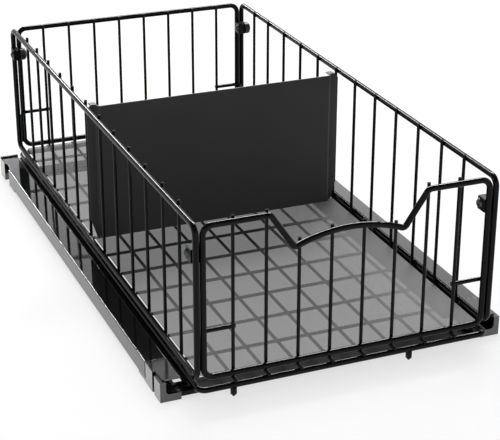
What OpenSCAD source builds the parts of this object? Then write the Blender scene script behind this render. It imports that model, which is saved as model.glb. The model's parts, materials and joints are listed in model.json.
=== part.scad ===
// Pull out cabinet basket: a clamped wire basket with a floor liner and a cross
// divider, carried by two telescopic slides on a low base frame.
// The origin is on the cabinet floor at the middle of the basket. +Y is the back.

/* [Basket] */
// Width between the side panels' wires, centre to centre
basket_w = 252; // [200:1:400]
// Length between the corner posts of a side panel
basket_l = 533; // [400:1:650]
// Height of a panel between the centres of its rails
panel_h = 126.5; // [100:0.5:220]
// Diameter of the thick wire of the panels and the floor frame
rail_wire = 5; // [4:0.1:6]
// Diameter of the thin bars
bar_wire = 2.8; // [2:0.1:3]
// Bend radius of a panel's corners
bend_r = 8; // [6:0.5:14]
// Bars in a side panel
side_bars = 12; // [6:1:20]
// Bars in a front or back panel
end_bars = 8; // [4:2:12]
// Distance from an end panel's post to its first bar
end_bar_gap = 25.3; // [20:0.1:32]
// How far a bar's tip stands above the rail
bar_tip = 1.2; // [1:0.1:3]
// How far a side panel's first and last bars stand in from the even spacing
outer_bar_in = 4; // [0:0.5:8]

/* [Handle] */
// Width of the dip in the front panel's top rail
dip_w = 132.6; // [115:1:150]
// Distance between the dip's two low points
grip_w = 92.8; // [80:1:100]
// Depth of the dip below the rail
dip_depth = 29.6; // [20:0.1:40]
// Rise of the grip's arch above its low points
arch_rise = 9.1; // [6:0.1:14]

/* [Locking wires and clamps] */
// Diameter of a locking wire
lock_wire = 3.6; // [3:0.1:4]
// Height of a locking wire above the lower rail
lock_up = 38; // [20:1:60]
// Distance of a clamp's middle below the top rail
clamp_down = 23.6; // [19:0.1:40]
// Height of a clamp block
clamp_h = 11.2; // [10:0.1:14]
// Diameter of a clamp's knob
knob_d = 12.4; // [10:0.1:13]
// Diameter of a clamp's screw
clamp_screw = 4; // [3:0.1:5]

/* [Floor and divider] */
// Thickness of the floor liner
liner_t = 1; // [0.5:0.1:2]
// Position of the divider along the basket
divider_y = 12.4; // [-8:0.1:14]
// Height of the divider
divider_h = 127.6; // [90:0.1:180]
// Thickness of the divider's sheet
divider_t = 1; // [0.8:0.1:1.5]
// Height of the slanted cut at the divider's lower corners
divider_cut = 18; // [10:1:30]

/* [Base and slides] */
// Distance from a side panel's middle to the edge of a base rail's flange
rail_out = 6; // [6:0.1:40]
// How much shorter the base rails are than a side panel
rail_short = 100; // [90:1:120]
// Height of a base rail's wall
wall_h = 15; // [10:0.1:18]
// Width of a base rail's top flange
flange_w = 18.2; // [14:0.1:19]
// Length of the front end caps
front_cap_l = 36; // [30:0.5:45]
// Length of the rear end caps
rear_cap_l = 37; // [30:0.5:45]
// Width of a slide
slide_w = 12.5; // [12:0.1:15]
// Width of a crossbar
bar_w = 16; // [14:0.5:26]

/* [Hidden] */
$fn = 24;
eps = 0.01;
weld = 0.5;            // how deep two welded wires sink into each other
pin_d = 5.3;           // locating pins under the front of the floor frame
pin_left_in = 29;      // from the frame's left side to the left pin
pin_right_in = 71.5;   // from its right side to the right pin
divider_step = 8.65;   // from the side bars in to the divider's step
rear_bar_in = 10;      // how much further in the rear crossbar sits than the front one
frame_bend = 6.5;      // bend radius of the floor frame's corners
seat = 0.05;           // air between two pieces that rest on each other
run = 0.4;             // air between pieces that slide past each other
sheet = 1.2;           // base frame sheet
slide_sheet = 0.8;
arc_fn = 56;
knuckle_gap = 0.3;     // space a knuckle fills between a bend and a straight run
knuckle_up = 0.03;
low_r = 3.5;           // bend radius at the dip's low points
inner_r = 2;           // inner radius of a sheet bend in the divider

// heights, from the cabinet floor up
foot_z = 3.1;                                  // underside of the base rails
rail_floor_z = foot_z + sheet;
slide_z = rail_floor_z + 0.1;
bar_top_z = 6.3;                               // top of the crossbars
mid_z = bar_top_z + run;
mid_top_z = mid_z + 3.8;
outer_top_z = mid_top_z + run + 1;
slide_top_z = outer_top_z + 0.5 + 0.9;
frame_z = slide_top_z + seat + rail_wire / 2;  // centre of the floor frame
long_z = frame_z + rail_wire / 2 + bar_wire / 2 - weld;
cross_z = long_z + bar_wire - weld;
low_z = cross_z + bar_wire / 2 + seat + rail_wire / 2;
top_z = low_z + panel_h;
liner_z = cross_z + bar_wire / 2 + seat;
divider_z = liner_z + liner_t + seat;

// plan positions
side_x = basket_w / 2;
post_x = side_x - rail_wire - 0.5;             // end panels' posts
side_post_y = basket_l / 2;
end_y = side_post_y - 0.5;
bar_in = rail_wire / 2 + bar_wire / 2 - 0.4;   // bar centre inside its rail
side_bar_x = side_x - bar_in;
end_bar_y = end_y - bar_in;
side_pitch = basket_l / (side_bars + 1);
end_pitch = 2 * (post_x - end_bar_gap) / (end_bars - 1);
frame_x = side_x - 1;
frame_y = side_post_y + 1.5;
lock_y = end_y - rail_wire / 2 - lock_wire / 2 + 0.35;
lock_leg_x = side_x - 2.8;
lock_z = low_z + lock_up;
liner_x = side_bar_x - bar_wire / 2 - 0.5;
liner_y = lock_y - lock_wire / 2 - 0.9;
clamp_z = top_z - clamp_down;
knob_y = end_y - rail_wire / 2 - knob_d / 2 - 0.4;   // the clamp screws' line
block_y = knob_y - 3.1;                        // free end of a clamp block
block_w = 6.9;                                 // width of a clamp block along X
clamp_x = post_x - rail_wire / 2 - 0.2;        // a right clamp block's left face
clamp_shift = 2 * (clamp_x + block_w / 2 + 2.35);    // from a left clamp to a right one
slide_x = side_x - 2;                          // slide's centre line, under the frame
slide_in_x = slide_x - slide_w / 2;
flange_z = foot_z + wall_h;                    // top of the base rails
flange_x = side_x + rail_out;                  // inner edge of the top flange
base_x = flange_x + flange_w;
rail_l = basket_l - rail_short;                // length of the base rails
rail_y0 = -rail_l / 2 + 4.5;                   // front end of the base rails
rail_y1 = rail_y0 + rail_l;
front_y = rail_y0 - front_cap_l;               // front end of the base
rear_y = rail_y1 + rear_cap_l;
cap_x = base_x - 0.3;                          // outer face of the end caps
cap_t = 4.9;                                   // thickness of a cap's wall
cap_top_t = 1.6;                               // thickness of a cap's top plate
block_z = flange_z - 1.3;                      // top of a front cap's end block
step_w = 3;                                    // width of that block's step
cap_foot_w = 17.7;                             // width of a cap's foot
cap_foot_x = base_x - cap_foot_w;
tongue_l = 18;                                 // length of a cap's lower tongue
cap_foot_z = bar_top_z - sheet - seat;         // the crossbars' ends lie on it
lip = 2.4;                                     // front lip of a front cap
hole_x = cap_foot_x + 0.7;                     // fixing holes
hole_in = 9.1;                                 // from a crossbar's outer edge to its holes
hole_r = 2.5;
slide_front_y = front_y + 3;                   // front end of the inner slides

// ---------- wire helpers ----------
function unit(v) = v / norm(v);
function turn(u, v) = atan2(u[0] * v[1] - u[1] * v[0], u * v);
function fillet(p, q, s, r) =
    let (u = unit(q - p), v = unit(s - q), t = turn(u, v), l = r * tan(abs(t) / 2))
    [q - u * l, q + v * l, t, q - u * l + r * sign(t) * [-u[1], u[0]]];

// a straight wire in the XY plane
module wire_line(a, b, d) {
    translate([a[0], a[1], 0])
        rotate([0, 0, atan2(b[1] - a[1], b[0] - a[0])])
            rotate([0, 90, 0]) cylinder(d = d, h = norm(b - a));
}

// one bend: f holds both tangent points, the turn and the centre
module wire_bend(f, r, d) {
    start = atan2(f[0][1] - f[3][1], f[0][0] - f[3][0]);
    translate([f[3][0], f[3][1], 0])
        rotate([0, 0, f[2] < 0 ? start + f[2] : start])
            rotate_extrude(angle = abs(f[2]), $fn = arc_fn)
                translate([r, 0]) circle(d = d, $fn = 24);
}

// a bend other than a right angle meets its straight runs in a small knuckle
function slanted(f) = abs(abs(f[2]) - 90) > 0.01;

module knuckle(p, d) {
    translate([p[0], p[1], 0]) sphere(r = d / 2 + knuckle_up, $fn = 32);
}

// straight run between two bends, f before it and g after it
module wire_run(f, g, d) {
    a = f[1];
    b = g[0];
    u = unit(b - a);
    ga = slanted(f) ? knuckle_gap : 0;
    gb = slanted(g) ? knuckle_gap : 0;
    if (norm(b - a) > 3 * knuckle_gap) {
        wire_line(a + u * ga, b - u * gb, d);
        if (ga > 0) knuckle(a + u * ga / 2, d);
        if (gb > 0) knuckle(b - u * gb / 2, d);
    }
    else knuckle((a + b) / 2, d);
}

// a closed wire through the corner points, each with its own bend radius
module wire_loop(pts, radii, d) {
    n = len(pts);
    bends = [for (i = [0:n - 1])
        fillet(pts[(i + n - 1) % n], pts[i], pts[(i + 1) % n], radii[i])];
    for (i = [0:n - 1]) {
        wire_bend(bends[i], radii[i], d);
        wire_run(bends[i], bends[(i + 1) % n], d);
    }
}

module at_each_side() {
    for (sx = [-1, 1]) scale_x(sx) children();
}

module scale_x(s) {
    if (s > 0) children();
    else mirror([1, 0, 0]) children();
}

module scale_y(s) {
    if (s > 0) children();
    else mirror([0, 1, 0]) children();
}

// ---------- panels ----------
module side_panel() {
    // drawn in the YZ plane at X = side_x
    translate([side_x, 0, 0]) rotate([90, 0, 90])
        wire_loop([[-side_post_y, low_z], [side_post_y, low_z],
                   [side_post_y, top_z], [-side_post_y, top_z]],
                  [bend_r, bend_r, bend_r, bend_r], rail_wire);
    for (i = [1:side_bars])
        translate([side_bar_x, side_bar_y(i), low_z - rail_wire / 2 + 0.15])
            cylinder(d = bar_wire, h = panel_h + rail_wire - 0.15 + bar_tip);
}

function side_bar_y(i) =
    i * side_pitch - side_post_y
    + (i == 1 ? outer_bar_in : i == side_bars ? -outer_bar_in : 0);

function grip_top(x) = low_point_z() + arch_rise - x * x * arch_rise / pow(grip_w / 2, 2);
function low_point_z() = top_z - dip_depth;
function end_bar_x(i) = -(post_x - end_bar_gap) + i * end_pitch;

// upper end of an end bar: a tip above the rail or the grip in front, flush at the back
function bar_end_z(x, dipped) =
    !dipped ? top_z + rail_wire / 2 - 0.15
            : (abs(x) < grip_w / 2 ? grip_top(x) : top_z) + rail_wire / 2 + bar_tip;

module end_bars_set(dipped) {
    start = long_z + bar_wire / 2 + 0.2;
    for (i = [0:end_bars - 1])
        translate([end_bar_x(i), end_bar_y, start])
            cylinder(d = bar_wire, h = bar_end_z(end_bar_x(i), dipped) - start);
}

// locking wire: across the post from the first bar, then down inside the side panel
module lock_wire_piece() {
    r = 5;
    bar_x = post_x - end_bar_gap;
    arm = lock_leg_x - r - (bar_x - bar_wire / 2 - 0.4);
    translate([lock_leg_x - r, lock_y, lock_z]) rotate([0, -90, 0])
        cylinder(d = lock_wire, h = arm);
    translate([lock_leg_x - r, lock_y, lock_z - r]) rotate([90, 0, 0])
        rotate_extrude(angle = 90, $fn = arc_fn)
            translate([r, 0]) circle(d = lock_wire, $fn = 24);
    translate([lock_leg_x, lock_y, low_z + rail_wire / 2 + 3.4])
        cylinder(d = lock_wire, h = lock_z - r - low_z - rail_wire / 2 - 3.4);
}

// drawn at the back of the basket; the front panel is its mirror
module end_panel(dipped) {
    tangent = atan2(2 * arch_rise, grip_w / 2);
    drop = atan2(dip_depth, (dip_w - grip_w) / 2);
    low_l = low_r * tan((drop + tangent) / 2);
    grip_r = (grip_w / 2 / cos(tangent) - low_l - knuckle_gap) / tan(tangent);
    plain = [[-post_x, low_z], [post_x, low_z], [post_x, top_z], [-post_x, top_z]];
    dip = [[-post_x, low_z], [post_x, low_z], [post_x, top_z], [dip_w / 2, top_z],
           [grip_w / 2, low_point_z()], [0, low_point_z() + 2 * arch_rise],
           [-grip_w / 2, low_point_z()], [-dip_w / 2, top_z], [-post_x, top_z]];
    translate([0, end_y, 0]) rotate([90, 0, 0])
        if (dipped)
            wire_loop(dip, [bend_r, bend_r, bend_r, 5, low_r, grip_r, low_r, 5, bend_r],
                      rail_wire);
        else
            wire_loop(plain, [bend_r, bend_r, bend_r, bend_r], rail_wire);
    end_bars_set(dipped);
    at_each_side() lock_wire_piece();
}

module left_side_panel() { color("#16171a") mirror([1, 0, 0]) side_panel(); }
module right_side_panel() { color("#16171a") side_panel(); }
module front_panel() { color("#16171a") mirror([0, 1, 0]) end_panel(true); }
module back_panel() { color("#16171a") end_panel(false); }

// ---------- floor ----------
module locating_pin(x) {
    translate([x, -frame_y, frame_z - rail_wire / 2 - 5])
        cylinder(d = pin_d, h = 5.6);
    translate([x, -frame_y, frame_z - rail_wire / 2 - 7.4])
        cylinder(d1 = 1.6, d2 = pin_d, h = 2.4);
}

module floor_grid() {
    color("#16171a") {
        translate([0, 0, frame_z])
            wire_loop([[-frame_x, -frame_y], [frame_x, -frame_y],
                       [frame_x, frame_y], [-frame_x, frame_y]],
                      [frame_bend, frame_bend, frame_bend, frame_bend], rail_wire);
        for (i = [0:end_bars - 1])
            translate([end_bar_x(i), -frame_y - 2.2, long_z])
                rotate([-90, 0, 0]) cylinder(d = bar_wire, h = 2 * frame_y + 4.4);
        for (i = [1:side_bars])
            translate([-side_x - 0.8, i * side_pitch - side_post_y, cross_z])
                rotate([0, 90, 0]) cylinder(d = bar_wire, h = 2 * side_x + 1.6);
        locating_pin(pin_left_in - side_x);
        locating_pin(side_x - pin_right_in);
    }
}

module floor_liner() {
    r = 3;
    color("#6c7074", 0.6) translate([0, 0, liner_z]) {
        translate([-liner_x + r, -liner_y, 0]) cube([2 * (liner_x - r), 2 * liner_y, liner_t]);
        translate([-liner_x, -liner_y + r, 0]) cube([2 * liner_x, 2 * (liner_y - r), liner_t]);
        for (sx = [-1, 1], sy = [-1, 1])
            translate([sx * (liner_x - r), sy * (liner_y - r), 0]) cylinder(r = r, h = liner_t);
    }
}

// ---------- divider ----------
// quarter ring of a sheet bend, in the quadrant x > 0, y < 0
module quarter_ring(r, t) {
    intersection() {
        difference() {
            circle(r = r + t, $fn = 48);
            circle(r = r, $fn = 48);
        }
        translate([0, -r - t]) square(r + t);
    }
}

// half of the divider seen from above: plate, step back and edge strip
module divider_half_plan() {
    web_x = side_bar_x - divider_step;                 // outer face of the step
    edge_x = side_x - rail_wire / 2 - 0.4;
    y0 = divider_y - divider_t / 2;
    y1 = y0 + 2 * inner_r + divider_t + 0.2;   // front face of the edge strip
    translate([0, y0]) square([web_x - inner_r - divider_t, divider_t]);
    translate([web_x - inner_r - divider_t, y0 + inner_r + divider_t])
        quarter_ring(inner_r, divider_t);
    translate([web_x - divider_t, y0 + inner_r + divider_t]) square([divider_t, 0.2]);
    translate([web_x + inner_r, y1 - inner_r])
        rotate([0, 0, 180]) quarter_ring(inner_r, divider_t);
    translate([web_x + inner_r, y1]) square([edge_x - web_x - inner_r, divider_t]);
}

module divider() {
    edge_x = side_x - rail_wire / 2 - 0.4;
    web_x = side_bar_x - divider_step;
    z1 = divider_z + divider_h;
    cut_y = divider_y + 10 * divider_t;        // the side cuts reach past the sheet
    y1 = divider_y - divider_t / 2 + 2 * inner_r + divider_t + 0.2;
    color("#2d2d2e") {
        intersection() {
            translate([0, 0, divider_z])
                linear_extrude(divider_h) {
                    divider_half_plan();
                    mirror([1, 0]) divider_half_plan();
                }
            translate([0, cut_y, 0]) rotate([90, 0, 0])
                linear_extrude(20 * divider_t)
                    polygon([[-edge_x + 5.5, divider_z], [edge_x - 5.5, divider_z],
                             [edge_x, divider_z + divider_cut], [edge_x, z1 - 4],
                             [edge_x - 4.5, z1], [-edge_x + 4.5, z1],
                             [-edge_x, z1 - 4], [-edge_x, divider_z + divider_cut]]);
        }
        at_each_side()
            translate([web_x - 0.5, y1 + divider_t / 2, z1 - divider_t])
                cube([6, 6.5, divider_t]);
    }
}

// ---------- corner clamps, drawn at the back right corner ----------
// All four are alike: head to the left, knob to the right, so the left ones are moved
// over and not mirrored.
module post_pair(r) {
    translate([post_x, end_y, clamp_z - clamp_h]) cylinder(r = r, h = 2 * clamp_h);
    translate([side_x, side_post_y, clamp_z - clamp_h]) cylinder(r = r, h = 2 * clamp_h);
}

module along_screw(x) {
    translate([x, knob_y, clamp_z]) rotate([0, 90, 0]) children();
}

module at_corner(left, front) {
    scale_y(front ? -1 : 1) translate([left ? -clamp_shift : 0, 0, 0]) children();
}

// block beside the posts, hollowed where it holds them
module clamp_block(left) {
    difference() {
        translate([clamp_x, block_y, clamp_z - clamp_h / 2])
            cube([block_w, end_y - 1.5 - block_y, clamp_h]);
        translate([left ? clamp_shift : 0, 0, 0]) {
            post_pair(rail_wire / 2 + 0.1);
            mirror([left ? 1 : 0, 0, 0]) post_pair(rail_wire / 2 + 0.1);
        }
        along_screw(clamp_x - 1) cylinder(r = clamp_screw / 2 + 0.15, h = block_w + 2);
    }
}

module clamp_screw_piece() {
    head = clamp_screw * 1.75;
    along_screw(clamp_x - 1) cylinder(d = clamp_screw, h = block_w + 6);
    intersection() {
        along_screw(clamp_x + head * 0.22 - seat) sphere(d = head * 1.18, $fn = 32);
        translate([clamp_x - 8 - seat, knob_y - 6, clamp_z - 6]) cube([8, 12, 12]);
    }
}

module clamp_knob() {
    difference() {
        intersection() {
            along_screw(clamp_x + block_w + seat) cylinder(d = knob_d, h = 7.2, $fn = 48);
            along_screw(clamp_x + block_w + 7.2 - 8.7) sphere(r = 8.7, $fn = 64);
        }
        along_screw(clamp_x + block_w - 1)
            cylinder(r = clamp_screw / 2 + 0.03, h = 6.4);
    }
}

module front_left_clamp_block() { color("#1d1e20") at_corner(true, true) clamp_block(true); }
module front_right_clamp_block() { color("#1d1e20") at_corner(false, true) clamp_block(false); }
module back_left_clamp_block() { color("#1d1e20") at_corner(true, false) clamp_block(true); }
module back_right_clamp_block() { color("#1d1e20") at_corner(false, false) clamp_block(false); }
module front_left_clamp_knob() { color("#242527") at_corner(true, true) clamp_knob(); }
module front_right_clamp_knob() { color("#242527") at_corner(false, true) clamp_knob(); }
module back_left_clamp_knob() { color("#242527") at_corner(true, false) clamp_knob(); }
module back_right_clamp_knob() { color("#242527") at_corner(false, false) clamp_knob(); }
module clamp_screws() {
    color("#3a3b3d") for (left = [true, false], front = [true, false])
        at_corner(left, front) clamp_screw_piece();
}

// ---------- slides, drawn on the right ----------
module along_y(y0, y1) {
    translate([0, y1, 0]) rotate([90, 0, 0]) linear_extrude(y1 - y0) children();
}

// a channel open at the top, with lips turned inwards
module lipped_channel(w, z0, z1, t, lip_t, mouth) {
    translate([-w / 2, z0]) square([w, t]);
    for (s = [-1, 1]) {
        translate([s * (w / 2 - t / 2) - t / 2, z0]) square([t, z1 - z0]);
        translate([s > 0 ? mouth / 2 : -w / 2, z1 - lip_t]) square([(w - mouth) / 2, lip_t]);
    }
}

rivet_in = 40;                                 // from a rail's end to its outer rivets
rivet_ys = [rail_y0 + rivet_in, (rail_y0 + rail_y1) / 2, rail_y1 - rivet_in];

module outer_slide() {
    difference() {
        translate([slide_x, 0, 0]) along_y(rail_y0 + 1, rail_y1 - 1)
            lipped_channel(slide_w, slide_z, outer_top_z, 1, 1, slide_w - 5.1);
        for (y = rivet_ys)
            translate([slide_x, y, slide_z - 1]) cylinder(r = 1.6, h = 3);
        // shallow rolled race along the outside of each wall
        for (s = [-1, 1])
            translate([slide_x + s * (slide_w / 2 + 1.15), rail_y0 - 1, 8.1])
                rotate([-90, 0, 0]) cylinder(r = 1.5, h = rail_l + 2, $fn = 32);
    }
}

module middle_slide() {
    translate([slide_x, 0, 0]) along_y(rail_y0 + 3, rail_y1 - 5)
        lipped_channel(slide_w - 2 - 2 * run, mid_z, mid_top_z, slide_sheet, slide_sheet,
                       slide_w - 7.1);
}

module inner_slide() {
    foot_w = slide_w - 2 - 2 * run - 2 * slide_sheet - 2 * run;
    translate([slide_x, 0, 0]) along_y(slide_front_y, frame_y - 5) {
        translate([-foot_w / 2, mid_z + slide_sheet + run])
            square([foot_w, mid_top_z - mid_z - 2 * slide_sheet - 2 * run]);
        translate([-2.2, mid_z + slide_sheet + run]) square([4.4, slide_top_z - mid_z - 2]);
        translate([-4.5, slide_top_z - 0.9]) square([9, 0.9]);
    }
}

module slide_rivets() {
    color("#8d8f92") at_each_side() for (y = rivet_ys) {
        translate([slide_x, y, foot_z - 0.8]) cylinder(r = 1.5, h = slide_z + 1.8 - foot_z + 0.8);
        translate([slide_x, y, foot_z - seat - 0.8]) cylinder(r = 2.6, h = 0.8);
        translate([slide_x, y, slide_z + 1 + seat]) cylinder(r = 2.6, h = 0.8);
    }
}

module left_slide_outer() { color("#202124") mirror([1, 0, 0]) outer_slide(); }
module right_slide_outer() { color("#202124") outer_slide(); }
module left_slide_middle() { color("#26272a") mirror([1, 0, 0]) middle_slide(); }
module right_slide_middle() { color("#26272a") middle_slide(); }
module left_slide_inner() { color("#202124") mirror([1, 0, 0]) inner_slide(); }
module right_slide_inner() { color("#202124") inner_slide(); }

// ---------- base frame, drawn on the right ----------
// a sheet with a bottom ledge, an outer wall and a top flange with a short hem
module base_rail_piece() {
    difference() {
        along_y(rail_y0, rail_y1) {
            translate([slide_in_x - 0.5, foot_z]) square([base_x - slide_in_x + 0.5, sheet]);
            translate([base_x - sheet, foot_z]) square([sheet, wall_h]);
            translate([flange_x, flange_z - sheet]) square([flange_w, sheet]);
            translate([flange_x, flange_z - 3 * sheet]) square([sheet, 3 * sheet]);
        }
        for (y = rivet_ys)
            translate([slide_x, y, foot_z - 1]) cylinder(r = 1.6, h = 3);
    }
}

// drawn at the front; its ends lie on the caps' feet behind their front lips
module crossbar_piece(notched) {
    difference() {
        union() {
            translate([-cap_foot_x + 0.1, front_y, bar_top_z - 3.8])
                cube([2 * cap_foot_x - 0.2, bar_w, 3.8]);
            translate([-cap_x + cap_t + 0.1, front_y + (notched ? lip + 0.1 : 0), cap_foot_z + seat])
                cube([2 * (cap_x - cap_t) - 0.2, bar_w - (notched ? lip + 0.1 : 0), sheet]);
        }
        translate([-cap_foot_x - 1, front_y + sheet, bar_top_z - 5])
            cube([2 * cap_foot_x + 2, bar_w - 2 * sheet, 5 - sheet]);
        for (s = [-1, 1]) translate([s * hole_x, front_y + hole_in, 0]) {
            cylinder(r = hole_r, h = 10);
            translate([0, 0, bar_top_z - sheet]) cylinder(r1 = hole_r, r2 = 4.3, h = sheet + eps);
        }
    }
}

// stretch of a cap's wall, set in where it has a groove
module cap_wall(y0, y1, z0, top, inset) {
    translate([cap_x - cap_t, y0, z0]) cube([cap_t - inset, y1 - y0, top - z0]);
}

// top plate between two distances along the cap, level with the rail's flange
module cap_plate(y0, y1, inset) {
    translate([flange_x, y0, flange_z - cap_top_t])
        cube([cap_x - inset - flange_x, y1 - y0, cap_top_t]);
}

// tongues under the base rail and inside its wall; y is the rail's end
module cap_tongues(y, dir) {
    translate([cap_foot_x + 1, dir > 0 ? y - 1 : y + 1 - tongue_l, 0])
        cube([cap_foot_w - 1.5, tongue_l, foot_z - seat]);
    translate([cap_x - cap_t, dir > 0 ? y - 1 : y - 11, rail_floor_z + 0.15])
        cube([cap_t - sheet, 12, wall_h - 2 * sheet - 0.3]);
}

// foot along the whole cap, with a round lobe for the fixing hole
module cap_foot(y0, y1, hole_y) {
    translate([cap_foot_x, y0, 0]) cube([cap_x - 1 - cap_foot_x, y1 - y0, cap_foot_z]);
    translate([hole_x, hole_y, 0]) cylinder(r = hole_r + 2.2, h = cap_foot_z);
}

module front_cap_piece() {
    end = rail_y0 - 0.1;
    groove = front_y + 14;
    difference() {
        union() {
            cap_wall(groove + 4.5, end, 0, flange_z, 0);
            cap_wall(groove - 0.5, groove + 5, 0.7, flange_z - 0.7, 2.5);
            cap_wall(front_y, groove, 0, block_z, 0);
            cap_plate(groove, end, 2.5);
            cap_plate(front_y + 3.5, groove + 1, step_w);
            cap_foot(front_y, end, front_y + hole_in);
            translate([cap_foot_x, front_y, 0])
                cube([cap_x - 1 - cap_foot_x, lip, bar_top_z]);
            translate([cap_x - cap_t - 3, front_y, bar_top_z - 0.5]) difference() {
                cube([4, lip, 3.5]);
                translate([0, -1, 3.5]) rotate([-90, 0, 0]) cylinder(r = 3, h = lip + 2);
            }
            cap_tongues(rail_y0, 1);
        }
        translate([hole_x, front_y + hole_in, -1]) cylinder(r = hole_r, h = 10);
    }
}

module rear_cap_piece() {
    start = rail_y1 + 0.1;
    recess_l = 17.5;
    hole_y = rear_y - 10 - hole_in;
    difference() {
        union() {
            cap_wall(start, rear_y, 0, flange_z, 0);
            cap_plate(start, rear_y - 1, 0);
            cap_foot(start, rear_y, hole_y);
            translate([cap_foot_x, rear_y - 9.9, 0])
                cube([cap_x - 1 - cap_foot_x, 9.9, bar_top_z]);
            translate([cap_foot_x - 1.1, rear_y - 2.5, 0])
                cube([cap_x - cap_foot_x + 1.1, 2.5, flange_z + 1.5]);
            cap_tongues(rail_y1, -1);
        }
        translate([hole_x, hole_y, -1]) cylinder(r = hole_r, h = 10);
        // open recess in the side, deep under the top plate and shallow through it
        translate([cap_x - 2 * cap_t, start + 1.4, -1])
            cube([2 * cap_t + 1, recess_l, flange_z - cap_top_t + 1]);
        translate([cap_x - cap_t / 2, start + 1.4, -1]) cube([cap_t, recess_l, 2 * flange_z]);
    }
}

module left_base_rail() { color("#1a1b1d") mirror([1, 0, 0]) base_rail_piece(); }
module right_base_rail() { color("#1a1b1d") base_rail_piece(); }
module front_crossbar() { color("#1a1b1d") crossbar_piece(true); }
module rear_crossbar() {
    color("#1a1b1d") translate([0, rear_y - rear_bar_in + front_y, 0]) mirror([0, 1, 0])
        crossbar_piece(false);
}
module front_left_end_cap() { color("#2a2b2d") mirror([1, 0, 0]) front_cap_piece(); }
module front_right_end_cap() { color("#2a2b2d") front_cap_piece(); }
module rear_left_end_cap() { color("#2a2b2d") mirror([1, 0, 0]) rear_cap_piece(); }
module rear_right_end_cap() { color("#2a2b2d") rear_cap_piece(); }

left_side_panel();
right_side_panel();
front_panel();
back_panel();
floor_grid();
floor_liner();
divider();
front_left_clamp_block();
front_right_clamp_block();
back_left_clamp_block();
back_right_clamp_block();
front_left_clamp_knob();
front_right_clamp_knob();
back_left_clamp_knob();
back_right_clamp_knob();
clamp_screws();
left_slide_outer();
right_slide_outer();
left_slide_middle();
right_slide_middle();
left_slide_inner();
right_slide_inner();
slide_rivets();
left_base_rail();
right_base_rail();
front_crossbar();
rear_crossbar();
front_left_end_cap();
front_right_end_cap();
rear_left_end_cap();
rear_right_end_cap();
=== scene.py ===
"""Pull out cabinet basket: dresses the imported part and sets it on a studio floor."""
import json
import math

import bmesh
import bpy
from bpy.props import FloatProperty, FloatVectorProperty, PointerProperty
from mathutils import Matrix, Vector


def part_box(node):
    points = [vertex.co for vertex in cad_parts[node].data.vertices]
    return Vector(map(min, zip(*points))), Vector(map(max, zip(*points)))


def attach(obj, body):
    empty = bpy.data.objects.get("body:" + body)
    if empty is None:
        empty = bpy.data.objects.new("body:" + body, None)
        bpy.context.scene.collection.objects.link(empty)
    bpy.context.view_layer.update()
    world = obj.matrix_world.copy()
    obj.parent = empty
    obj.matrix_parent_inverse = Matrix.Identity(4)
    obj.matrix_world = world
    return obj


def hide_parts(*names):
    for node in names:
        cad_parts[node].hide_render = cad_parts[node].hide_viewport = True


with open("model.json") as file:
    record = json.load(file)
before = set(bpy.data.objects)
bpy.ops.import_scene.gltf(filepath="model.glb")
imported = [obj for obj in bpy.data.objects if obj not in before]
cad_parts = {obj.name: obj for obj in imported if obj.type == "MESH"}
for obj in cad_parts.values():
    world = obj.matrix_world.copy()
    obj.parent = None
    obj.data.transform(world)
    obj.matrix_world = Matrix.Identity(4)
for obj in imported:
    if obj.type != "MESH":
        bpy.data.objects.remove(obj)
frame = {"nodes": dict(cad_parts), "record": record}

bl_info = {
    "name": "Pull Out Cabinet Basket",
    "version": (1, 0, 0),
    "blender": (4, 5, 0),
    "location": "View3D > Sidebar > Basket",
    "description": "Dresses the pull out basket in its finishes and lights it on a studio floor",
    "category": "Add Mesh",
}

NODES = frame["nodes"]
BODY_OF = {node: body for body, nodes in frame["record"]["behaviour"]["bodies"].items()
           for node in nodes}
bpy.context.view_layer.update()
MM = 0.001

# sockets of a colour Mix node, which are told apart by their number
MIX_FACTOR, MIX_A, MIX_B, MIX_RESULT = 0, 6, 7, 2

SMOOTH_UNDER = math.radians(38)  # faces that meet at less are shaded as one
FLAT_UNDER = math.radians(0.8)   # faces that meet at less are made one
LINER_EDGE = 0.3 * MM            # rounding on the liner's cut edge
SLIDE_EDGE = 0.15 * MM           # rounding on the slides' rolled edges
RAIL_EDGE = 0.2 * MM             # rounding on the base rails' ends and holes
CROSSBAR_EDGE = 0.4 * MM         # rounding on the pressed crossbars

SENSOR_WIDTH = 36                # of the camera, in millimetres

# name, share of the lamp power, width, length, place, point it faces, shown in the gloss
LAMPS = (
    ("Overhead softbox", 1.0, 2.2, 2.2, (-0.3, 0.4, 2.4), (0, 0, 0), False),
    ("Left softbox", 0.3, 1.6, 1.6, (-2.2, -0.9, 1.3), (0, 0, 0.05), False),
    ("Long box", 3.4, 0.3, 2.4, (0.1, 2.2, 1.35), (0.1, 2.19, 0), True),
    ("Cross box", 6.0, 1.6, 0.5, (0.95, 1.0, 1.6), (0.95, 0.99, 0), True),
    ("Right box", 0.04, 1.3, 1.2, (1.3, 2.5, 1.1), (0, 0, 0.05), True),
)


def linear(hex_colour):
    """The linear colour, with alpha, of an sRGB hex value."""
    parts = [int(hex_colour[i:i + 2], 16) / 255 for i in (1, 3, 5)]
    return tuple(c / 12.92 if c <= 0.04045 else ((c + 0.055) / 1.055) ** 2.4
                 for c in parts) + (1.0,)


def add_node(tree, kind, settings=None, links=None):
    """Adds a node, sets its properties and inputs, and links its inputs to other nodes' outputs."""
    node = tree.nodes.new(kind)
    for name, value in (settings or {}).items():
        if isinstance(name, str) and hasattr(node, name):
            setattr(node, name, value)
        else:
            node.inputs[name].default_value = value
    for name, source in (links or {}).items():
        tree.links.new(source, node.inputs[name])
    return node


def new_material(name):
    """An empty node material with an output, as (material, tree, output node)."""
    material = bpy.data.materials.new(name)
    material.use_nodes = True
    tree = material.node_tree
    tree.nodes.clear()
    return material, tree, add_node(tree, "ShaderNodeOutputMaterial")


# ---------------------------------------------------------------- settings

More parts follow.
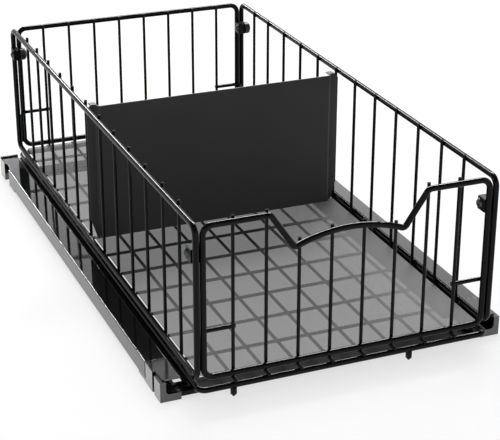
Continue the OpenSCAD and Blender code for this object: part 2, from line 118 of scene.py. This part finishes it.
class WireSettings(bpy.types.PropertyGroup):
    """Coated wires of the panels and the floor."""
    colour: FloatVectorProperty(name="Coat colour", description="Colour of the wires' powder coat",
                                subtype="COLOR", size=4, min=0, max=1, default=linear("#070808"))
    peel: FloatProperty(name="Coat grain", description="Size of the coat's orange peel",
                        subtype="DISTANCE", unit="LENGTH", default=1.4 * MM, min=0.2 * MM,
                        max=5 * MM)


class FloorSettings(bpy.types.PropertyGroup):
    """The loose sheet on the floor wires."""
    colour: FloatVectorProperty(name="Liner colour", description="Colour of the smoky sheet",
                                subtype="COLOR", size=4, min=0, max=1, default=linear("#38383a"))
    cover: FloatProperty(name="Liner cover", description="How much each of the sheet's two "
                         "faces hides what is below", subtype="FACTOR", default=0.52, min=0,
                         max=1)
    # The haze is a painted sheen: the sheet's right side is drawn lighter and more covering.
    painted_sheen_colour: FloatVectorProperty(name="Haze colour", description="Colour at the sheet's hazy "
                                     "right side", subtype="COLOR", size=4, min=0, max=1,
                                     default=linear("#88888a"))
    painted_sheen_cover: FloatProperty(name="Haze cover", description="How much each face hides at the "
                              "sheet's hazy right side", subtype="FACTOR", default=0.64, min=0,
                              max=1)
    painted_sheen_start: FloatProperty(name="Haze start", description="Where the haze starts, to the right "
                              "of the middle", subtype="DISTANCE", unit="LENGTH",
                              default=10 * MM, min=0, max=60 * MM)
    painted_sheen_end: FloatProperty(name="Haze end", description="Where the haze is full, to the right of "
                            "the middle", subtype="DISTANCE", unit="LENGTH", default=115 * MM,
                            min=70 * MM, max=125 * MM)


class DividerSettings(bpy.types.PropertyGroup):
    """The folded sheet plate across the basket."""
    colour: FloatVectorProperty(name="Plate colour", description="Colour of the plate's matt coat",
                                subtype="COLOR", size=4, min=0, max=1, default=linear("#2b2b2c"))
    edge: FloatProperty(name="Edge rounding", description="Radius of the plate's deburred edges",
                        subtype="DISTANCE", unit="LENGTH", default=0.25 * MM, min=0.05 * MM,
                        max=0.45 * MM)


class ClampSettings(bpy.types.PropertyGroup):
    """The corner clamps."""
    knob_colour: FloatVectorProperty(name="Knob colour", description="Colour of the moulded knobs",
                                     subtype="COLOR", size=4, min=0, max=1,
                                     default=linear("#1b1c1d"))
    rounding: FloatProperty(name="Clamp rounding", description="Rounding on blocks and knobs",
                            subtype="DISTANCE", unit="LENGTH", default=0.5 * MM, min=0.1 * MM,
                            max=0.8 * MM)


class BaseSettings(bpy.types.PropertyGroup):
    """The base frame under the basket."""
    colour: FloatVectorProperty(name="Base colour", description="Colour of the base's gloss coat",
                                subtype="COLOR", size=4, min=0, max=1, default=linear("#050606"))
    fold: FloatProperty(name="Fold radius", description="Rounding along the folded rail walls",
                        subtype="DISTANCE", unit="LENGTH", default=0.9 * MM, min=0.2 * MM,
                        max=1.4 * MM)
    cap_edge: FloatProperty(name="Cap rounding", description="Rounding on the end caps' edges",
                            subtype="DISTANCE", unit="LENGTH", default=0.5 * MM, min=0.1 * MM,
                            max=0.6 * MM)


class StageSettings(bpy.types.PropertyGroup):
    """Camera, lamps and floor."""
    place: FloatVectorProperty(name="Camera place", description="Where the camera stands",
                               subtype="TRANSLATION", unit="LENGTH", size=3,
                               default=(-0.4738, -1.2150, 0.6058))
    turn: FloatProperty(name="Camera turn", description="Heading from straight back to the right",
                        subtype="ANGLE", unit="ROTATION", default=math.radians(22.39))
    tilt: FloatProperty(name="Camera tilt", description="How far the camera looks down",
                        subtype="ANGLE", unit="ROTATION", default=math.radians(23.908))
    roll: FloatProperty(name="Camera roll", description="How far the camera leans",
                        subtype="ANGLE", unit="ROTATION", default=math.radians(0.092))
    lens: FloatProperty(name="Lens", description="Focal length on a 36 mm wide sensor",
                        subtype="DISTANCE_CAMERA", default=109.8, min=20, max=300)
    lamp_power: FloatProperty(name="Lamp power", description="Power of the overhead softbox",
                              subtype="POWER", unit="POWER", default=26, min=0, max=500)


# ---------------------------------------------------------------- finishes

def wire_coat(settings):
    # Powder coat on drawn steel wire, sprayed and baked: near black, glossy, with a faint
    # orange peel that softens the long highlights, and some patches a touch duller.
    patch = 30 * MM
    material, tree, out = new_material("Gloss black powder coated wire")
    place = add_node(tree, "ShaderNodeTexCoord").outputs["Object"]
    peel = add_node(tree, "ShaderNodeTexNoise", {"Scale": 1 / settings.peel, "Detail": 2.0},
                    {"Vector": place})
    bump = add_node(tree, "ShaderNodeBump", {"Strength": 0.12, "Distance": 0.05 * MM},
                    {"Height": peel.outputs["Fac"]})
    wear = add_node(tree, "ShaderNodeTexNoise", {"Scale": 1 / patch, "Detail": 3.0},
                    {"Vector": place})
    rough = add_node(tree, "ShaderNodeMapRange",
                     {"From Min": 0.35, "From Max": 0.65, "To Min": 0.08, "To Max": 0.13},
                     {"Value": wear.outputs["Fac"]})
    shader = add_node(tree, "ShaderNodeBsdfPrincipled",
                      {"Base Color": settings.colour, "IOR": 1.5, "Specular IOR Level": 0.13},
                      {"Roughness": rough.outputs["Result"], "Normal": bump.outputs["Normal"]})
    tree.links.new(shader.outputs["BSDF"], out.inputs["Surface"])
    return material


def liner_sheet(settings):
    # Extruded polypropylene sheet, smoky and translucent, with a fine haircell face that
    # mottles its sheen: the wires show through as soft dark lines. Towards the right edge the
    # sheet is painted lighter and hides more of the wires: a painted sheen.
    cell_size = 0.9 * MM
    material, tree, out = new_material("Smoky polypropylene sheet")
    place = add_node(tree, "ShaderNodeTexCoord").outputs["Object"]
    cell = add_node(tree, "ShaderNodeTexNoise", {"Scale": 1 / cell_size, "Detail": 1.0},
                    {"Vector": place})
    rough = add_node(tree, "ShaderNodeMapRange", {"To Min": 0.44, "To Max": 0.52},
                     {"Value": cell.outputs["Fac"]})
    across = add_node(tree, "ShaderNodeSeparateXYZ", {}, {"Vector": place}).outputs["X"]
    # Painted sheen: right of the middle the sheet turns lighter and hides more of the wires.
    painted_sheen = add_node(tree, "ShaderNodeMapRange",
                    {"interpolation_type": "SMOOTHSTEP", "From Min": settings.painted_sheen_start,
                     "From Max": settings.painted_sheen_end}, {"Value": across}).outputs["Result"]
    tone = add_node(tree, "ShaderNodeMix",
                    {"data_type": "RGBA", MIX_A: settings.colour, MIX_B: settings.painted_sheen_colour},
                    {MIX_FACTOR: painted_sheen})
    cover = add_node(tree, "ShaderNodeMapRange",
                     {"To Min": settings.cover, "To Max": settings.painted_sheen_cover}, {"Value": painted_sheen})
    shader = add_node(tree, "ShaderNodeBsdfPrincipled",
                      {"IOR": 1.49, "Specular IOR Level": 0.16},
                      {"Base Color": tone.outputs[MIX_RESULT], "Alpha": cover.outputs["Result"],
                       "Roughness": rough.outputs["Result"]})
    tree.links.new(shader.outputs["BSDF"], out.inputs["Surface"])
    return material


def plate_coat(settings):
    # Matt textured powder coat on steel sheet: charcoal, a fine even sand grain and no clear
    # reflections, sprayed a little unevenly.
    grain_size, cloud_size = 0.7 * MM, 60 * MM
    material, tree, out = new_material("Matt charcoal powder coated sheet")
    place = add_node(tree, "ShaderNodeTexCoord").outputs["Object"]
    grain = add_node(tree, "ShaderNodeTexNoise", {"Scale": 1 / grain_size, "Detail": 2.0},
                     {"Vector": place})
    bump = add_node(tree, "ShaderNodeBump", {"Strength": 0.2, "Distance": 0.05 * MM},
                    {"Height": grain.outputs["Fac"]})
    cloud = add_node(tree, "ShaderNodeTexNoise", {"Scale": 1 / cloud_size, "Detail": 2.0},
                     {"Vector": place})
    rough = add_node(tree, "ShaderNodeMapRange",
                     {"From Min": 0.3, "From Max": 0.7, "To Min": 0.58, "To Max": 0.68},
                     {"Value": cloud.outputs["Fac"]})
    shader = add_node(tree, "ShaderNodeBsdfPrincipled",
                      {"Base Color": settings.colour, "IOR": 1.45},
                      {"Roughness": rough.outputs["Result"], "Normal": bump.outputs["Normal"]})
    tree.links.new(shader.outputs["BSDF"], out.inputs["Surface"])
    return material


def base_coat(settings):
    # Black enamel and clear coat on folded steel: nearly a black mirror on the flat flange, less on
    # the upright walls, where the coat is thinned by the way they face: a painted shade on them.
    # The long shallow waves are those of rolled sheet.
    wave_length = 14 * MM
    material, tree, out = new_material("High gloss black coated steel")
    place = add_node(tree, "ShaderNodeTexCoord").outputs["Object"]
    wave = add_node(tree, "ShaderNodeTexNoise", {"Scale": 1 / wave_length, "Detail": 1.0},
                    {"Vector": place})
    bump = add_node(tree, "ShaderNodeBump", {"Strength": 0.04, "Distance": 0.06 * MM},
                    {"Height": wave.outputs["Fac"]})
    normal = add_node(tree, "ShaderNodeNewGeometry").outputs["Normal"]
    facing = add_node(tree, "ShaderNodeSeparateXYZ", {}, {"Vector": normal})
    # Painted shade: the coat, and with it the reflection, thins on faces that point sideways.
    painted_wall_dimming = add_node(tree, "ShaderNodeMapRange",
                      {"From Min": 0.4, "From Max": 0.9, "To Min": 0.1, "To Max": 1.0},
                      {"Value": facing.outputs["Z"]})
    shader = add_node(tree, "ShaderNodeBsdfPrincipled",
                      {"Base Color": settings.colour, "Roughness": 0.08, "IOR": 1.6,
                       "Coat Roughness": 0.03, "Coat IOR": 1.6},
                      {"Normal": bump.outputs["Normal"],
                       "Coat Weight": painted_wall_dimming.outputs["Result"]})
    tree.links.new(shader.outputs["BSDF"], out.inputs["Surface"])
    return material


def cap_plastic(settings):
    # Injection moulded ABS from a polished tool, lacquered: black, glossy, faintly rippled.
    ripple_size = 4 * MM
    material, tree, out = new_material("Polished black ABS")
    place = add_node(tree, "ShaderNodeTexCoord").outputs["Object"]
    ripple = add_node(tree, "ShaderNodeTexNoise", {"Scale": 1 / ripple_size, "Detail": 1.0},
                      {"Vector": place})
    bump = add_node(tree, "ShaderNodeBump", {"Strength": 0.08, "Distance": 0.05 * MM},
                    {"Height": ripple.outputs["Fac"]})
    shader = add_node(tree, "ShaderNodeBsdfPrincipled",
                      {"Base Color": settings.colour, "Roughness": 0.14, "IOR": 1.6,
                       "Coat Weight": 1.0, "Coat Roughness": 0.06, "Coat IOR": 1.6},
                      {"Normal": bump.outputs["Normal"]})
    tree.links.new(shader.outputs["BSDF"], out.inputs["Surface"])
    return material


def slide_coat():
    # Cathodic dip paint on cold rolled slide sections: thin satin black, a little duller and
    # shinier by turns along the drawing lines, which run lengthwise.
    line_width, line_stretch = 0.6 * MM, 50
    material, tree, out = new_material("Satin black slide steel")
    place = add_node(tree, "ShaderNodeTexCoord").outputs["Object"]
    stretch = add_node(tree, "ShaderNodeMapping", {"Scale": (1, 1 / line_stretch, 1)},
                       {"Vector": place})
    drawn = add_node(tree, "ShaderNodeTexNoise", {"Scale": 1 / line_width, "Detail": 2.0},
                     {"Vector": stretch.outputs["Vector"]})
    rough = add_node(tree, "ShaderNodeMapRange",
                     {"From Min": 0.3, "From Max": 0.7, "To Min": 0.36, "To Max": 0.44},
                     {"Value": drawn.outputs["Fac"]})
    shader = add_node(tree, "ShaderNodeBsdfPrincipled",
                      {"Base Color": linear("#0c0d0e"), "IOR": 1.55, "Specular IOR Level": 0.12},
                      {"Roughness": rough.outputs["Result"]})
    tree.links.new(shader.outputs["BSDF"], out.inputs["Surface"])
    return material


def knob_nylon(settings):
    # Glass filled nylon from a lightly eroded tool: dull black with a fine grain.
    grain_size = 0.3 * MM
    material, tree, out = new_material("Moulded black nylon")
    place = add_node(tree, "ShaderNodeTexCoord").outputs["Object"]
    spark = add_node(tree, "ShaderNodeTexNoise", {"Scale": 1 / grain_size, "Detail": 1.0},
                     {"Vector": place})
    bump = add_node(tree, "ShaderNodeBump", {"Strength": 0.25, "Distance": 0.03 * MM},
                    {"Height": spark.outputs["Fac"]})
    shader = add_node(tree, "ShaderNodeBsdfPrincipled",
                      {"Base Color": settings.knob_colour, "Roughness": 0.38, "IOR": 1.53,
                       "Specular IOR Level": 0.3},
                      {"Normal": bump.outputs["Normal"]})
    tree.links.new(shader.outputs["BSDF"], out.inputs["Surface"])
    return material


def screw_zinc():
    # Black passivated zinc on a rolled steel screw: dark satin metal with a mottled film.
    mottle = 0.8 * MM
    material, tree, out = new_material("Black zinc plated screw steel")
    place = add_node(tree, "ShaderNodeTexCoord").outputs["Object"]
    film = add_node(tree, "ShaderNodeTexNoise", {"Scale": 1 / mottle, "Detail": 3.0},
                    {"Vector": place})
    tone = add_node(tree, "ShaderNodeMix",
                    {"data_type": "RGBA", MIX_A: linear("#3c3e41"), MIX_B: linear("#56585c")},
                    {MIX_FACTOR: film.outputs["Fac"]})
    shader = add_node(tree, "ShaderNodeBsdfPrincipled", {"Metallic": 1.0, "Roughness": 0.3},
                      {"Base Color": tone.outputs[MIX_RESULT]})
    tree.links.new(shader.outputs["BSDF"], out.inputs["Surface"])
    return material


def rivet_zinc():
    # Bright zinc plate on headed rivets: pale grey metal, unevenly shiny from the barrel.
    mottle = 0.6 * MM
    material, tree, out = new_material("Bright zinc plated rivet steel")
    place = add_node(tree, "ShaderNodeTexCoord").outputs["Object"]
    film = add_node(tree, "ShaderNodeTexNoise", {"Scale": 1 / mottle, "Detail": 3.0},
                    {"Vector": place})
    rough = add_node(tree, "ShaderNodeMapRange", {"To Min": 0.25, "To Max": 0.45},
                     {"Value": film.outputs["Fac"]})
    shader = add_node(tree, "ShaderNodeBsdfPrincipled",
                      {"Base Color": linear("#b9babc"), "Metallic": 1.0},
                      {"Roughness": rough.outputs["Result"]})
    tree.links.new(shader.outputs["BSDF"], out.inputs["Surface"])
    return material


# ---------------------------------------------------------------- mesh work

def merged_copy(node):
    """A CAD node's shape as a bmesh with its loose triangles joined."""
    bm = bmesh.new()
    bm.from_mesh(NODES[node].data)
    bmesh.ops.remove_doubles(bm, verts=bm.verts, dist=0.002 * MM)
    bmesh.ops.dissolve_degenerate(bm, dist=0.001 * MM, edges=bm.edges)
    return bm


def round_edges(bm, width, segments=2, angle=math.radians(40), wanted=None):
    """Rounds the edges that turn by more than angle, or those of them that wanted picks."""
    bmesh.ops.dissolve_limit(bm, angle_limit=FLAT_UNDER, use_dissolve_boundaries=False,
                             verts=bm.verts, edges=bm.edges, delimit={"NORMAL"})
    sharp = [e for e in bm.edges if e.is_manifold and e.calc_face_angle(0) > angle
             and (wanted is None or wanted(e))]
    bmesh.ops.bevel(bm, geom=sharp, offset=width, offset_type="OFFSET", affect="EDGES",
                    segments=segments, profile=0.5, material=-1, clamp_overlap=True,
                    loop_slide=True)


def add_piece(bm, name, node, material, even=False):
    """Makes the mesh a piece that stands for a CAD node and rides on the node's body."""
    for face in bm.faces:
        face.smooth = True
    for edge in bm.edges:
        edge.smooth = edge.is_manifold and edge.calc_face_angle(0) < SMOOTH_UNDER
    mesh = bpy.data.meshes.new(name)
    bm.to_mesh(mesh)
    bm.free()
    mesh.materials.clear()
    mesh.materials.append(material)
    piece = bpy.data.objects.new(name, mesh)
    bpy.context.scene.collection.objects.link(piece)
    if even:
        weighted = piece.modifiers.new("Even faces", "WEIGHTED_NORMAL")
        weighted.keep_sharp = True
    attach(piece, BODY_OF[node])
    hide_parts(node)
    return piece


# ---------------------------------------------------------------- pieces

class BASKET_OT_wire_panels(bpy.types.Operator):
    """Coats the four wire panels and the floor grid"""
    bl_idname = "basket.wire_panels"
    bl_label = "Wire panels and floor grid"

    def execute(self, context):
        coat = wire_coat(context.scene.basket_wires)
        for node, name in (("left_side_panel", "left_wire_panel"),
                           ("right_side_panel", "right_wire_panel"),
                           ("front_panel", "front_wire_panel"),
                           ("back_panel", "back_wire_panel"),
                           ("floor_grid", "floor_wire_grid")):
            add_piece(merged_copy(node), name, node, coat)
        return {"FINISHED"}


class BASKET_OT_liner(bpy.types.Operator):
    """Makes the smoky sheet that lies on the floor wires"""
    bl_idname = "basket.liner"
    bl_label = "Floor liner"

    def execute(self, context):
        bm = merged_copy("floor_liner")
        round_edges(bm, LINER_EDGE)
        add_piece(bm, "smoky_floor_sheet", "floor_liner",
                  liner_sheet(context.scene.basket_floor), even=True)
        return {"FINISHED"}


class BASKET_OT_divider(bpy.types.Operator):
    """Makes the folded plate across the basket"""
    bl_idname = "basket.divider"
    bl_label = "Divider"

    def execute(self, context):
        settings = context.scene.basket_divider
        bm = merged_copy("divider")
        round_edges(bm, settings.edge, angle=math.radians(50))
        add_piece(bm, "folded_divider_plate", "divider", plate_coat(settings),
                  even=True)
        return {"FINISHED"}


class BASKET_OT_clamps(bpy.types.Operator):
    """Makes the corner clamps: blocks, screws and knobs"""
    bl_idname = "basket.clamps"
    bl_label = "Corner clamps"

    def execute(self, context):
        settings = context.scene.basket_clamps
        coat, nylon, zinc = slide_coat(), knob_nylon(settings), screw_zinc()
        for corner in ("front_left", "front_right", "back_left", "back_right"):
            bm = merged_copy(f"{corner}_clamp_block")
            round_edges(bm, settings.rounding, 3)
            add_piece(bm, f"{corner}_clamp_body", f"{corner}_clamp_block", coat,
                      even=True)
            bm = merged_copy(f"{corner}_clamp_knob")
            round_edges(bm, settings.rounding, 3)
            add_piece(bm, f"{corner}_clamp_thumb_knob", f"{corner}_clamp_knob",
                      nylon, even=True)
        add_piece(merged_copy("clamp_screws"), "clamp_domed_screws", "clamp_screws",
                  zinc)
        return {"FINISHED"}


class BASKET_OT_slides(bpy.types.Operator):
    """Makes the telescopic slides and their rivets"""
    bl_idname = "basket.slides"
    bl_label = "Slides"

    def execute(self, context):
        coat = slide_coat()
        for side in ("left", "right"):
            for member in ("outer", "middle", "inner"):
                node = f"{side}_slide_{member}"
                bm = merged_copy(node)
                round_edges(bm, SLIDE_EDGE)
                add_piece(bm, f"{side}_slide_{member}_channel", node, coat,
                          even=True)
        add_piece(merged_copy("slide_rivets"), "domed_slide_rivets", "slide_rivets",
                  rivet_zinc())
        return {"FINISHED"}


class BASKET_OT_base(bpy.types.Operator):
    """Makes the folded base rails and the two crossbars"""
    bl_idname = "basket.base"
    bl_label = "Base rails and crossbars"

    def execute(self, context):
        settings = context.scene.basket_base
        coat, satin = base_coat(settings), slide_coat()
        for node in ("left_base_rail", "right_base_rail"):
            bm = merged_copy(node)
            round_edges(bm, settings.fold, 4, wanted=self.along_top(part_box(node)[1].z))
            round_edges(bm, RAIL_EDGE, angle=math.radians(60))
            add_piece(bm, f"{node}_folded", node, coat, even=True)
        for node in ("front_crossbar", "rear_crossbar"):
            bm = merged_copy(node)
            round_edges(bm, CROSSBAR_EDGE, 3)
            add_piece(bm, f"{node}_pressed", node, satin, even=True)
        return {"FINISHED"}

    def along_top(self, top):
        """Gives a test for the lengthwise edges at height top, where the sheet is folded."""
        slack = 0.1 * MM

        def is_fold(edge):
            start, end = (vert.co for vert in edge.verts)
            return abs(start.x - end.x) < 0.001 * MM and min(start.z, end.z) > top - slack

        return is_fold


class BASKET_OT_end_caps(bpy.types.Operator):
    """Makes the four moulded end caps"""
    bl_idname = "basket.end_caps"
    bl_label = "End caps"

    def execute(self, context):
        settings = context.scene.basket_base
        plastic = cap_plastic(settings)
        for place in ("front_left", "front_right", "rear_left", "rear_right"):
            node = f"{place}_end_cap"
            bm = merged_copy(node)
            round_edges(bm, settings.cap_edge, 3)
            add_piece(bm, f"{place}_moulded_cap", node, plastic, even=True)
        return {"FINISHED"}


class BASKET_OT_stage(bpy.types.Operator):
    """Sets up the camera, the lamps, the sky and the pale floor"""
    bl_idname = "basket.stage"
    bl_label = "Studio stage"

    def execute(self, context):
        settings = context.scene.basket_stage
        self.add_camera(settings)
        self.add_lamps(settings)
        self.add_sky()
        self.add_floor()
        context.scene.view_settings.view_transform = "Standard"
        return {"FINISHED"}

    def add_camera(self, settings):
        lens = bpy.data.cameras.new("Photograph view")
        lens.sensor_width = SENSOR_WIDTH
        lens.lens = settings.lens
        lens.clip_start = 0.05
        lens.clip_end = 60
        camera = bpy.data.objects.new("Photograph view", lens)
        camera.matrix_world = (Matrix.Translation(settings.place)
                               @ Matrix.Rotation(-settings.turn, 4, "Z")
                               @ Matrix.Rotation(math.pi / 2 - settings.tilt, 4, "X")
                               @ Matrix.Rotation(settings.roll, 4, "Z"))
        bpy.context.scene.collection.objects.link(camera)
        bpy.context.scene.camera = camera

    def add_lamps(self, settings):
        # The two softboxes light the coats and leave no streak in their gloss. The three boxes
        # behind the basket do the reverse: they only draw the thin highlights along the rails.
        for name, share, width, length, place, aim, mirrored in LAMPS:
            light = bpy.data.lights.new(name, "AREA")
            light.shape = "RECTANGLE"
            light.size = width
            light.size_y = length
            light.energy = settings.lamp_power * share
            lamp = bpy.data.objects.new(name, light)
            way = Vector(aim) - Vector(place)
            lamp.matrix_world = (Matrix.Translation(place)
                                 @ way.to_track_quat("-Z", "Y").to_matrix().to_4x4())
            lamp.visible_glossy = mirrored
            lamp.visible_diffuse = not mirrored
            lamp.visible_camera = False
            bpy.context.scene.collection.objects.link(lamp)

    def add_sky(self):
        # White walls up to about 17 degrees, fading to a dim ceiling at 35 degrees. Both are
        # given as the height of the way there, which is the sine of its angle.
        wall_top, ceiling_start, ceiling_light = 0.29, 0.58, 0.14
        world = bpy.data.worlds.new("Studio surround")
        bpy.context.scene.world = world
        world.use_nodes = True
        tree = world.node_tree
        tree.nodes.clear()
        out = add_node(tree, "ShaderNodeOutputWorld")
        way = add_node(tree, "ShaderNodeTexCoord").outputs["Generated"]
        height = add_node(tree, "ShaderNodeSeparateXYZ", {}, {"Vector": way}).outputs["Z"]
        fade = add_node(tree, "ShaderNodeMapRange",
                        {"From Min": wall_top, "From Max": ceiling_start, "To Min": 1.0,
                         "To Max": ceiling_light}, {"Value": height})
        light = add_node(tree, "ShaderNodeBackground", {"Color": (1, 1, 1, 1)},
                         {"Strength": fade.outputs["Result"]})
        tree.links.new(light.outputs["Background"], out.inputs["Surface"])

    def add_floor(self):
        # Matt white paper sweep. Where it is seen, or mirrored in the gloss, most of its white
        # is its own, so that only a faint soft shadow of the object stays on it.
        own_white, grains_per_metre, half_width = 0.65, 900.0, 8
        material, tree, out = new_material("White paper floor")
        path = add_node(tree, "ShaderNodeLightPath")
        shown = add_node(tree, "ShaderNodeMath", {"operation": "ADD", "use_clamp": True},
                         {0: path.outputs["Is Camera Ray"], 1: path.outputs["Is Glossy Ray"]})
        shown = add_node(tree, "ShaderNodeMath", {"operation": "ADD", "use_clamp": True},
                         {0: shown.outputs["Value"], 1: path.outputs["Is Transmission Ray"]})
        lift = add_node(tree, "ShaderNodeMath", {"operation": "MULTIPLY", 1: own_white},
                        {0: shown.outputs["Value"]})
        tone = add_node(tree, "ShaderNodeMix",
                        {"data_type": "RGBA", MIX_A: linear("#f4f4f4"),
                         MIX_B: linear("#a9a9a9")}, {MIX_FACTOR: shown.outputs["Value"]})
        place = add_node(tree, "ShaderNodeTexCoord").outputs["Object"]
        grain = add_node(tree, "ShaderNodeTexNoise", {"Scale": grains_per_metre},
                         {"Vector": place})
        bump = add_node(tree, "ShaderNodeBump", {"Strength": 0.03, "Distance": 0.05 * MM},
                        {"Height": grain.outputs["Fac"]})
        paper = add_node(tree, "ShaderNodeBsdfPrincipled",
                         {"Roughness": 0.9, "Emission Color": (1, 1, 1, 1)},
                         {"Base Color": tone.outputs[MIX_RESULT],
                          "Emission Strength": lift.outputs["Value"],
                          "Normal": bump.outputs["Normal"]})
        tree.links.new(paper.outputs["BSDF"], out.inputs["Surface"])
        bm = bmesh.new()
        bmesh.ops.create_grid(bm, x_segments=1, y_segments=1, size=half_width)
        mesh = bpy.data.meshes.new("Studio floor")
        bm.to_mesh(mesh)
        bm.free()
        mesh.materials.append(material)
        floor = bpy.data.objects.new("Studio floor", mesh)
        bpy.context.scene.collection.objects.link(floor)


class VIEW3D_PT_basket(bpy.types.Panel):
    """Lists the basket's pieces in the sidebar"""
    bl_label = "Pull Out Basket"
    bl_idname = "VIEW3D_PT_basket"
    bl_space_type = "VIEW_3D"
    bl_region_type = "UI"
    bl_category = "Basket"

    def draw(self, context):
        scene = context.scene
        for group, names, operators in (
                (scene.basket_wires, ("colour", "peel"), (BASKET_OT_wire_panels,)),
                (scene.basket_floor, ("colour", "cover", "painted_sheen_colour", "painted_sheen_cover",
                                      "painted_sheen_start", "painted_sheen_end"), (BASKET_OT_liner,)),
                (scene.basket_divider, ("colour", "edge"), (BASKET_OT_divider,)),
                (scene.basket_clamps, ("knob_colour", "rounding"), (BASKET_OT_clamps,)),
                (scene.basket_base, ("colour", "fold", "cap_edge"),
                 (BASKET_OT_slides, BASKET_OT_base, BASKET_OT_end_caps)),
                (scene.basket_stage, ("lens", "lamp_power"), (BASKET_OT_stage,))):
            box = self.layout.box()
            for name in names:
                box.prop(group, name)
            for operator in operators:
                box.operator(operator.bl_idname)


SETTINGS = {"basket_wires": WireSettings, "basket_floor": FloorSettings,
            "basket_divider": DividerSettings, "basket_clamps": ClampSettings,
            "basket_base": BaseSettings, "basket_stage": StageSettings}
OPERATORS = (BASKET_OT_wire_panels, BASKET_OT_liner, BASKET_OT_divider, BASKET_OT_clamps,
             BASKET_OT_slides, BASKET_OT_base, BASKET_OT_end_caps, BASKET_OT_stage)


def register():
    for cls in (*SETTINGS.values(), *OPERATORS, VIEW3D_PT_basket):
        bpy.utils.register_class(cls)
    for name, cls in SETTINGS.items():
        setattr(bpy.types.Scene, name, PointerProperty(type=cls))


def unregister():
    for name in SETTINGS:
        delattr(bpy.types.Scene, name)
    for cls in (VIEW3D_PT_basket, *reversed(OPERATORS), *reversed(SETTINGS.values())):
        bpy.utils.unregister_class(cls)


def main():
    register()
    bpy.ops.basket.wire_panels()
    bpy.ops.basket.liner()
    bpy.ops.basket.divider()
    bpy.ops.basket.clamps()
    bpy.ops.basket.slides()
    bpy.ops.basket.base()
    bpy.ops.basket.end_caps()
    bpy.ops.basket.stage()


if __name__ == "__main__":
    main()
